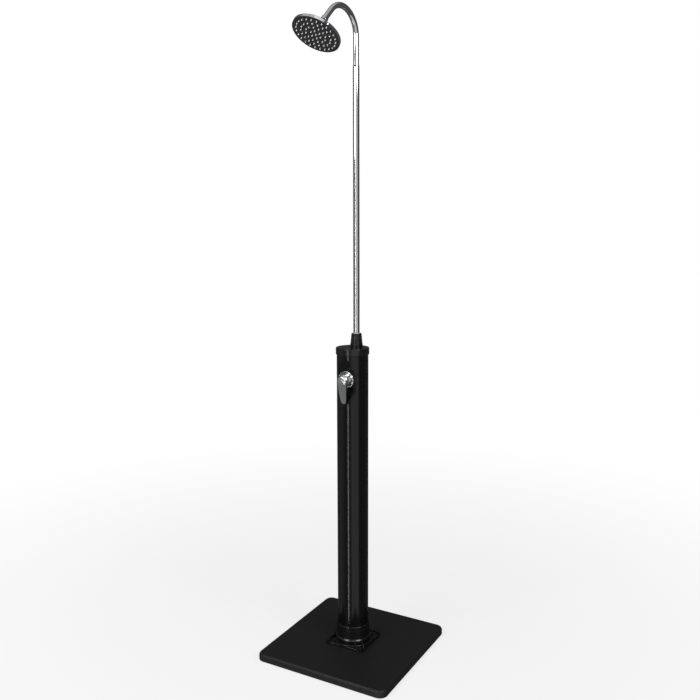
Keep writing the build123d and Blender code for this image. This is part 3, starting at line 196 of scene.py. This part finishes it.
def concrete_cast():
    """Cast concrete: grains of sand break its grey up, and they stand out of the worn cement."""
    material, tree, shader, place = surface("concrete_cast", "#9c9992", 0.9, IOR=1.5)
    grit = add(tree, "ShaderNodeMapping", {"Vector": place}, {"Scale": per_metre(2.2, 2.2, 2.2)})
    sand = add(tree, "ShaderNodeTexNoise", {"Vector": grit.outputs["Vector"]},
               {"Scale": 1.0, "Detail": 4.0, "Roughness": 0.6})
    greys = add(tree, "ShaderNodeValToRGB", {"Fac": sand.outputs["Fac"]})
    greys.color_ramp.elements[0].color = linear("#86837c")
    greys.color_ramp.elements[1].color = linear("#b3b0a8")
    worn = add(tree, "ShaderNodeBump", {"Height": sand.outputs["Fac"]}, {"Strength": 1.0, "Distance": 0.00035})
    tree.links.new(greys.outputs["Color"], shader.inputs["Base Color"])
    tree.links.new(worn.outputs["Normal"], shader.inputs["Normal"])
    return material


def epdm_rubber():
    """Moulded EPDM rubber: nearly black and matt, with a fine tooth."""
    material, tree, shader, place = surface("epdm_rubber", "#161616", 0.72, IOR=1.52)
    fine = add(tree, "ShaderNodeMapping", {"Vector": place}, {"Scale": per_metre(1.0, 1.0, 1.0)})
    tooth = add(tree, "ShaderNodeTexNoise", {"Vector": fine.outputs["Vector"]},
                {"Scale": 1.0, "Detail": 2.0, "Roughness": 0.5})
    toothed = add(tree, "ShaderNodeBump", {"Height": tooth.outputs["Fac"]},
                  {"Strength": 1.0, "Distance": 0.00003})
    tree.links.new(toothed.outputs["Normal"], shader.inputs["Normal"])
    return material


def steel_black_zinc():
    """Steel fasteners plated with black zinc: a dark satin sheen with duller worn patches."""
    material, tree, shader, place = surface("steel_black_zinc", "#3c3d40", 0.38, Metallic=1.0)
    patches = add(tree, "ShaderNodeMapping", {"Vector": place}, {"Scale": per_metre(4, 4, 4)})
    wear = add(tree, "ShaderNodeTexNoise", {"Vector": patches.outputs["Vector"]},
               {"Scale": 1.0, "Detail": 3.0, "Roughness": 0.5})
    gloss = add(tree, "ShaderNodeMapRange", {"Value": wear.outputs["Fac"]}, {"To Min": 0.28, "To Max": 0.5})
    worn = add(tree, "ShaderNodeBump", {"Height": wear.outputs["Fac"]}, {"Strength": 1.0, "Distance": 0.00001})
    tree.links.new(gloss.outputs["Result"], shader.inputs["Roughness"])
    tree.links.new(worn.outputs["Normal"], shader.inputs["Normal"])
    return material


def brass_turned():
    """Brass turned on a lathe: warm metal, with fine rings left by the tool."""
    material, tree, shader, place = surface("brass_turned", "#c9a24e", 0.3, Metallic=1.0)
    # The tool's rings are about 0.1 mm apart and drawn at 0.8 mm so that they show
    feed = add(tree, "ShaderNodeMapping", {"Vector": place}, {"Scale": per_metre(40, 0.8, 40)})
    rings = add(tree, "ShaderNodeTexNoise", {"Vector": feed.outputs["Vector"]},
                {"Scale": 1.0, "Detail": 1.0, "Roughness": 0.5})
    gloss = add(tree, "ShaderNodeMapRange", {"Value": rings.outputs["Fac"]}, {"To Min": 0.24, "To Max": 0.42})
    cut = add(tree, "ShaderNodeBump", {"Height": rings.outputs["Fac"]}, {"Strength": 1.0, "Distance": 0.000008})
    tree.links.new(gloss.outputs["Result"], shader.inputs["Roughness"])
    tree.links.new(cut.outputs["Normal"], shader.inputs["Normal"])
    return material


def chrome_polished():
    """Chrome plate over polished brass: a mirror, pulled very slightly along the buffing wheel's path."""
    material, tree, shader, place = surface("chrome_polished", "#d3d5d8", 0.07, Metallic=1.0)
    wheel = add(tree, "ShaderNodeMapping", {"Vector": place}, {"Scale": per_metre(9, 9, 60)})
    buffed = add(tree, "ShaderNodeTexNoise", {"Vector": wheel.outputs["Vector"]},
                 {"Scale": 1.0, "Detail": 2.0, "Roughness": 0.5})
    gloss = add(tree, "ShaderNodeMapRange", {"Value": buffed.outputs["Fac"]}, {"To Min": 0.045, "To Max": 0.1})
    pulled = add(tree, "ShaderNodeBump", {"Height": buffed.outputs["Fac"]},
                 {"Strength": 1.0, "Distance": 0.000012})
    tree.links.new(gloss.outputs["Result"], shader.inputs["Roughness"])
    tree.links.new(pulled.outputs["Normal"], shader.inputs["Normal"])
    return material


def chrome_satin():
    """Satin chrome on the cast lever: pale, with its reflections softly blurred."""
    material, tree, shader, place = surface("chrome_satin", "#cfd3d3", 0.25, Metallic=1.0)
    skin = add(tree, "ShaderNodeMapping", {"Vector": place}, {"Scale": per_metre(2.6, 2.6, 2.6)})
    cast = add(tree, "ShaderNodeTexNoise", {"Vector": skin.outputs["Vector"]},
               {"Scale": 1.0, "Detail": 2.0, "Roughness": 0.5})
    gloss = add(tree, "ShaderNodeMapRange", {"Value": cast.outputs["Fac"]}, {"To Min": 0.2, "To Max": 0.31})
    uneven = add(tree, "ShaderNodeBump", {"Height": cast.outputs["Fac"]},
                 {"Strength": 1.0, "Distance": 0.000008})
    tree.links.new(gloss.outputs["Result"], shader.inputs["Roughness"])
    tree.links.new(uneven.outputs["Normal"], shader.inputs["Normal"])
    return material


def stainless_polished():
    """Polished stainless sheet of the spray face: a grey mirror, streaked the way it was rolled."""
    material, tree, shader, place = surface("stainless_polished", "#8b8d90", 0.2, Metallic=1.0)
    rolls = add(tree, "ShaderNodeMapping", {"Vector": place}, {"Scale": per_metre(60, 1.2, 1.2)})
    rolled = add(tree, "ShaderNodeTexNoise", {"Vector": rolls.outputs["Vector"]},
                 {"Scale": 1.0, "Detail": 2.0, "Roughness": 0.5})
    gloss = add(tree, "ShaderNodeMapRange", {"Value": rolled.outputs["Fac"]}, {"To Min": 0.14, "To Max": 0.28})
    tree.links.new(gloss.outputs["Result"], shader.inputs["Roughness"])
    return material


def silicone_white():
    """Moulded white silicone: soft and matt, with a little light passing into it."""
    material, tree, shader, place = surface(
        "silicone_white", "#eceae6", 0.5, IOR=1.41, Subsurface_Weight=0.15, Subsurface_Scale=0.002)
    fine = add(tree, "ShaderNodeMapping", {"Vector": place}, {"Scale": per_metre(0.8, 0.8, 0.8)})
    skin = add(tree, "ShaderNodeTexNoise", {"Vector": fine.outputs["Vector"]},
               {"Scale": 1.0, "Detail": 1.0, "Roughness": 0.5})
    matted = add(tree, "ShaderNodeBump", {"Height": skin.outputs["Fac"]},
                 {"Strength": 1.0, "Distance": 0.00001})
    tree.links.new(matted.outputs["Normal"], shader.inputs["Normal"])
    return material


def acetal_white():
    """Moulded white acetal: waxy, with a low gloss."""
    material, tree, shader, place = surface("acetal_white", "#dcdad4", 0.36, IOR=1.48)
    fine = add(tree, "ShaderNodeMapping", {"Vector": place}, {"Scale": per_metre(1.5, 1.5, 1.5)})
    skin = add(tree, "ShaderNodeTexNoise", {"Vector": fine.outputs["Vector"]},
               {"Scale": 1.0, "Detail": 1.0, "Roughness": 0.5})
    waxy = add(tree, "ShaderNodeBump", {"Height": skin.outputs["Fac"]}, {"Strength": 1.0, "Distance": 0.00001})
    tree.links.new(waxy.outputs["Normal"], shader.inputs["Normal"])
    return material


def alumina_lapped():
    """Lapped alumina discs: off-white ceramic, nearly a mirror."""
    material, tree, shader, place = surface("alumina_lapped", "#e7e3d9", 0.1, IOR=1.76)
    # The lapping grit is a hundredth of this size and would not show
    grit = add(tree, "ShaderNodeMapping", {"Vector": place}, {"Scale": per_metre(0.6, 0.6, 0.6)})
    lapped = add(tree, "ShaderNodeTexNoise", {"Vector": grit.outputs["Vector"]},
                 {"Scale": 1.0, "Detail": 1.0, "Roughness": 0.5})
    gloss = add(tree, "ShaderNodeMapRange", {"Value": lapped.outputs["Fac"]}, {"To Min": 0.08, "To Max": 0.16})
    tree.links.new(gloss.outputs["Result"], shader.inputs["Roughness"])
    return material


def pex_pipe():
    """Extruded cross-linked polyethylene pipe: milky and satin, drawn along its length."""
    material, tree, shader, place = surface("pex_pipe", "#cfcdc6", 0.42, IOR=1.52)
    along = add(tree, "ShaderNodeMapping", {"Vector": place}, {"Scale": per_metre(3, 3, 80)})
    waves = add(tree, "ShaderNodeTexNoise", {"Vector": along.outputs["Vector"]},
                {"Scale": 1.0, "Detail": 1.0, "Roughness": 0.5})
    drawn = add(tree, "ShaderNodeBump", {"Height": waves.outputs["Fac"]},
                {"Strength": 1.0, "Distance": 0.00003})
    tree.links.new(drawn.outputs["Normal"], shader.inputs["Normal"])
    return material


def nylon_grey():
    """Moulded pale grey nylon collar: smooth, with a low gloss."""
    material, tree, shader, place = surface("nylon_grey", "#a9aaab", 0.4, IOR=1.53)
    fine = add(tree, "ShaderNodeMapping", {"Vector": place}, {"Scale": per_metre(1.5, 1.5, 1.5)})
    skin = add(tree, "ShaderNodeTexNoise", {"Vector": fine.outputs["Vector"]},
               {"Scale": 1.0, "Detail": 1.0, "Roughness": 0.5})
    smooth = add(tree, "ShaderNodeBump", {"Height": skin.outputs["Fac"]},
                 {"Strength": 1.0, "Distance": 0.000012})
    tree.links.new(smooth.outputs["Normal"], shader.inputs["Normal"])
    return material


FINISHES = {
    pvc_extruded_black: ["tank_tube"],
    abs_moulded_black: ["tank_foot", "top_cap", "bottom_plug", "drain_plug", "union_base", "union_locknut",
                        "union_nut"],
    hdpe_rotomoulded_black: ["base_cover"],
    concrete_cast: ["base_ballast"],
    epdm_rubber: ["rubber_feet", "plug_seal", "cap_seal", "inlet_gasket", "drain_washer", "valve_gasket",
                  "gland_seal", "ball_seal", "face_seal"],
    steel_black_zinc: ["anchor_sleeves", "foot_washers", "foot_bolts", "turret_pin", "handle_screw"],
    brass_turned: ["hose_inlet", "inlet_locknut", "inlet_tee", "valve_body", "valve_nut", "cartridge_nut",
                   "lever_stem"],
    chrome_polished: ["escutcheon", "dome_cover", "riser_tube", "riser_coupler", "gooseneck_arm",
                      "arm_ferrule", "swivel_ball", "swivel_nut", "head_shell"],
    chrome_satin: ["lever_handle", "handle_cap"],
    stainless_polished: ["face_plate"],
    silicone_white: ["nozzle_mat"],
    acetal_white: ["cartridge_housing", "turret", "disc_carrier", "thrust_ring"],
    alumina_lapped: ["fixed_disc", "moving_disc"],
    pex_pipe: ["cold_pipe", "outlet_pipe", "hot_pipe"],
    nylon_grey: ["grip_ring"],
}
for finish, nodes in FINISHES.items():
    material = finish()
    for node in nodes:
        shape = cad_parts[node]
        shape.data.materials.clear()
        shape.data.materials.append(material)


# Light and backdrop

def studio_world():
    """White behind the object; a dim studio with broad pale screens for the gloss."""
    world = bpy.data.worlds.new("studio")
    bpy.context.scene.world = world
    world.use_nodes = True
    tree = world.node_tree
    tree.nodes.clear()
    direction = add(tree, "ShaderNodeTexCoord")
    parts = add(tree, "ShaderNodeSeparateXYZ", {"Vector": direction.outputs["Generated"]})
    angle = add(tree, "ShaderNodeMath", {0: parts.outputs["Y"], 1: parts.outputs["X"]}, operation="ARCTAN2")
    overhead = add(tree, "ShaderNodeMapRange", {"Value": parts.outputs["Z"]}, {
        "From Min": CEILING_FROM, "From Max": CEILING_TO, "To Min": WALL_LEVEL, "To Max": CEILING_LEVEL,
    }, interpolation_type="SMOOTHSTEP")
    level = overhead.outputs["Result"]
    for middle, half, edge, brightness in SCREENS:
        turned = add(tree, "ShaderNodeMath", {0: angle.outputs[0]}, {1: -math.radians(middle)}, operation="ADD")
        wrapped = add(tree, "ShaderNodeMath", {0: turned.outputs[0]}, {1: math.pi, 2: -math.pi},
                      operation="WRAP")
        away = add(tree, "ShaderNodeMath", {0: wrapped.outputs[0]}, operation="ABSOLUTE")
        screen = add(tree, "ShaderNodeMapRange", {"Value": away.outputs[0]}, {
            "From Min": math.radians(half - edge / 2), "From Max": math.radians(half + edge / 2),
            "To Min": brightness, "To Max": 0.0,
        }, interpolation_type="SMOOTHSTEP")
        lit = add(tree, "ShaderNodeMath", {0: level, 1: screen.outputs["Result"]}, operation="ADD")
        level = lit.outputs[0]
    studio = add(tree, "ShaderNodeBackground", {"Strength": level}, {"Color": (1, 1, 1, 1)})
    white = add(tree, "ShaderNodeBackground", inputs={"Color": (1, 1, 1, 1), "Strength": 1.0})
    path = add(tree, "ShaderNodeLightPath")
    mix = add(tree, "ShaderNodeMixShader", {
        0: path.outputs["Is Camera Ray"], 1: studio.outputs[0], 2: white.outputs[0]})
    add(tree, "ShaderNodeOutputWorld", {"Surface": mix.outputs[0]})


def lamp(name, turn, distance, height, aim_height, size, watts):
    """A rectangular area lamp at an angle round the object, aimed at a height on its axis."""
    data = bpy.data.lights.new(name, "AREA")
    data.shape = "RECTANGLE"
    data.size, data.size_y = size
    data.energy = watts
    made = bpy.data.objects.new(name, data)
    bpy.context.scene.collection.objects.link(made)
    angle = math.radians(turn)
    made.location = (distance * math.cos(angle), distance * math.sin(angle), height)
    towards = Vector((0, 0, aim_height)) - Vector(made.location)
    made.rotation_euler = towards.to_track_quat("-Z", "Y").to_euler()


def paper_sweep():
    """Pale matt paper that keeps the object's shadow close by and goes over into plain white."""
    paper = bpy.data.materials.new("paper_sweep")
    paper.use_nodes = True
    tree = paper.node_tree
    tree.nodes.clear()
    matt = add(tree, "ShaderNodeBsdfDiffuse", inputs={"Color": linear("#e6e6e6")})
    glow = add(tree, "ShaderNodeEmission", inputs={"Color": (1, 1, 1, 1), "Strength": 1.0})
    seen = add(tree, "ShaderNodeLightPath")
    ground = add(tree, "ShaderNodeTexCoord")
    away = add(tree, "ShaderNodeVectorMath", {"Vector": ground.outputs["Object"]}, operation="LENGTH")
    fade = add(tree, "ShaderNodeMapRange", {"Value": away.outputs["Value"]}, {
        "From Min": SHADOW_REACH, "From Max": SHADOW_END, "To Min": WHITE_NEAR, "To Max": WHITE_FAR,
    }, interpolation_type="SMOOTHSTEP")
    share = add(tree, "ShaderNodeMath", {0: seen.outputs["Is Camera Ray"], 1: fade.outputs["Result"]},
                operation="MULTIPLY")
    blend = add(tree, "ShaderNodeMixShader", {0: share.outputs[0], 1: matt.outputs[0], 2: glow.outputs[0]})
    add(tree, "ShaderNodeOutputMaterial", {"Surface": blend.outputs[0]})
    return paper


def studio_floor():
    """Flat floor that gloss doesn't show, and that doesn't block the strip lamp, which reaches below it."""
    mesh = bpy.data.meshes.new("floor")
    corners = [(-1, -1), (1, -1), (1, 1), (-1, 1)]
    mesh.from_pydata([(x * FLOOR_HALF, y * FLOOR_HALF, 0) for x, y in corners], [], [(0, 1, 2, 3)])
    mesh.materials.append(paper_sweep())
    floor = bpy.data.objects.new("floor", mesh)
    bpy.context.scene.collection.objects.link(floor)
    floor.visible_glossy = False
    floor.visible_shadow = False
    return floor


studio_world()
for name, values in LAMPS.items():
    lamp(name, *values)
studio_floor()
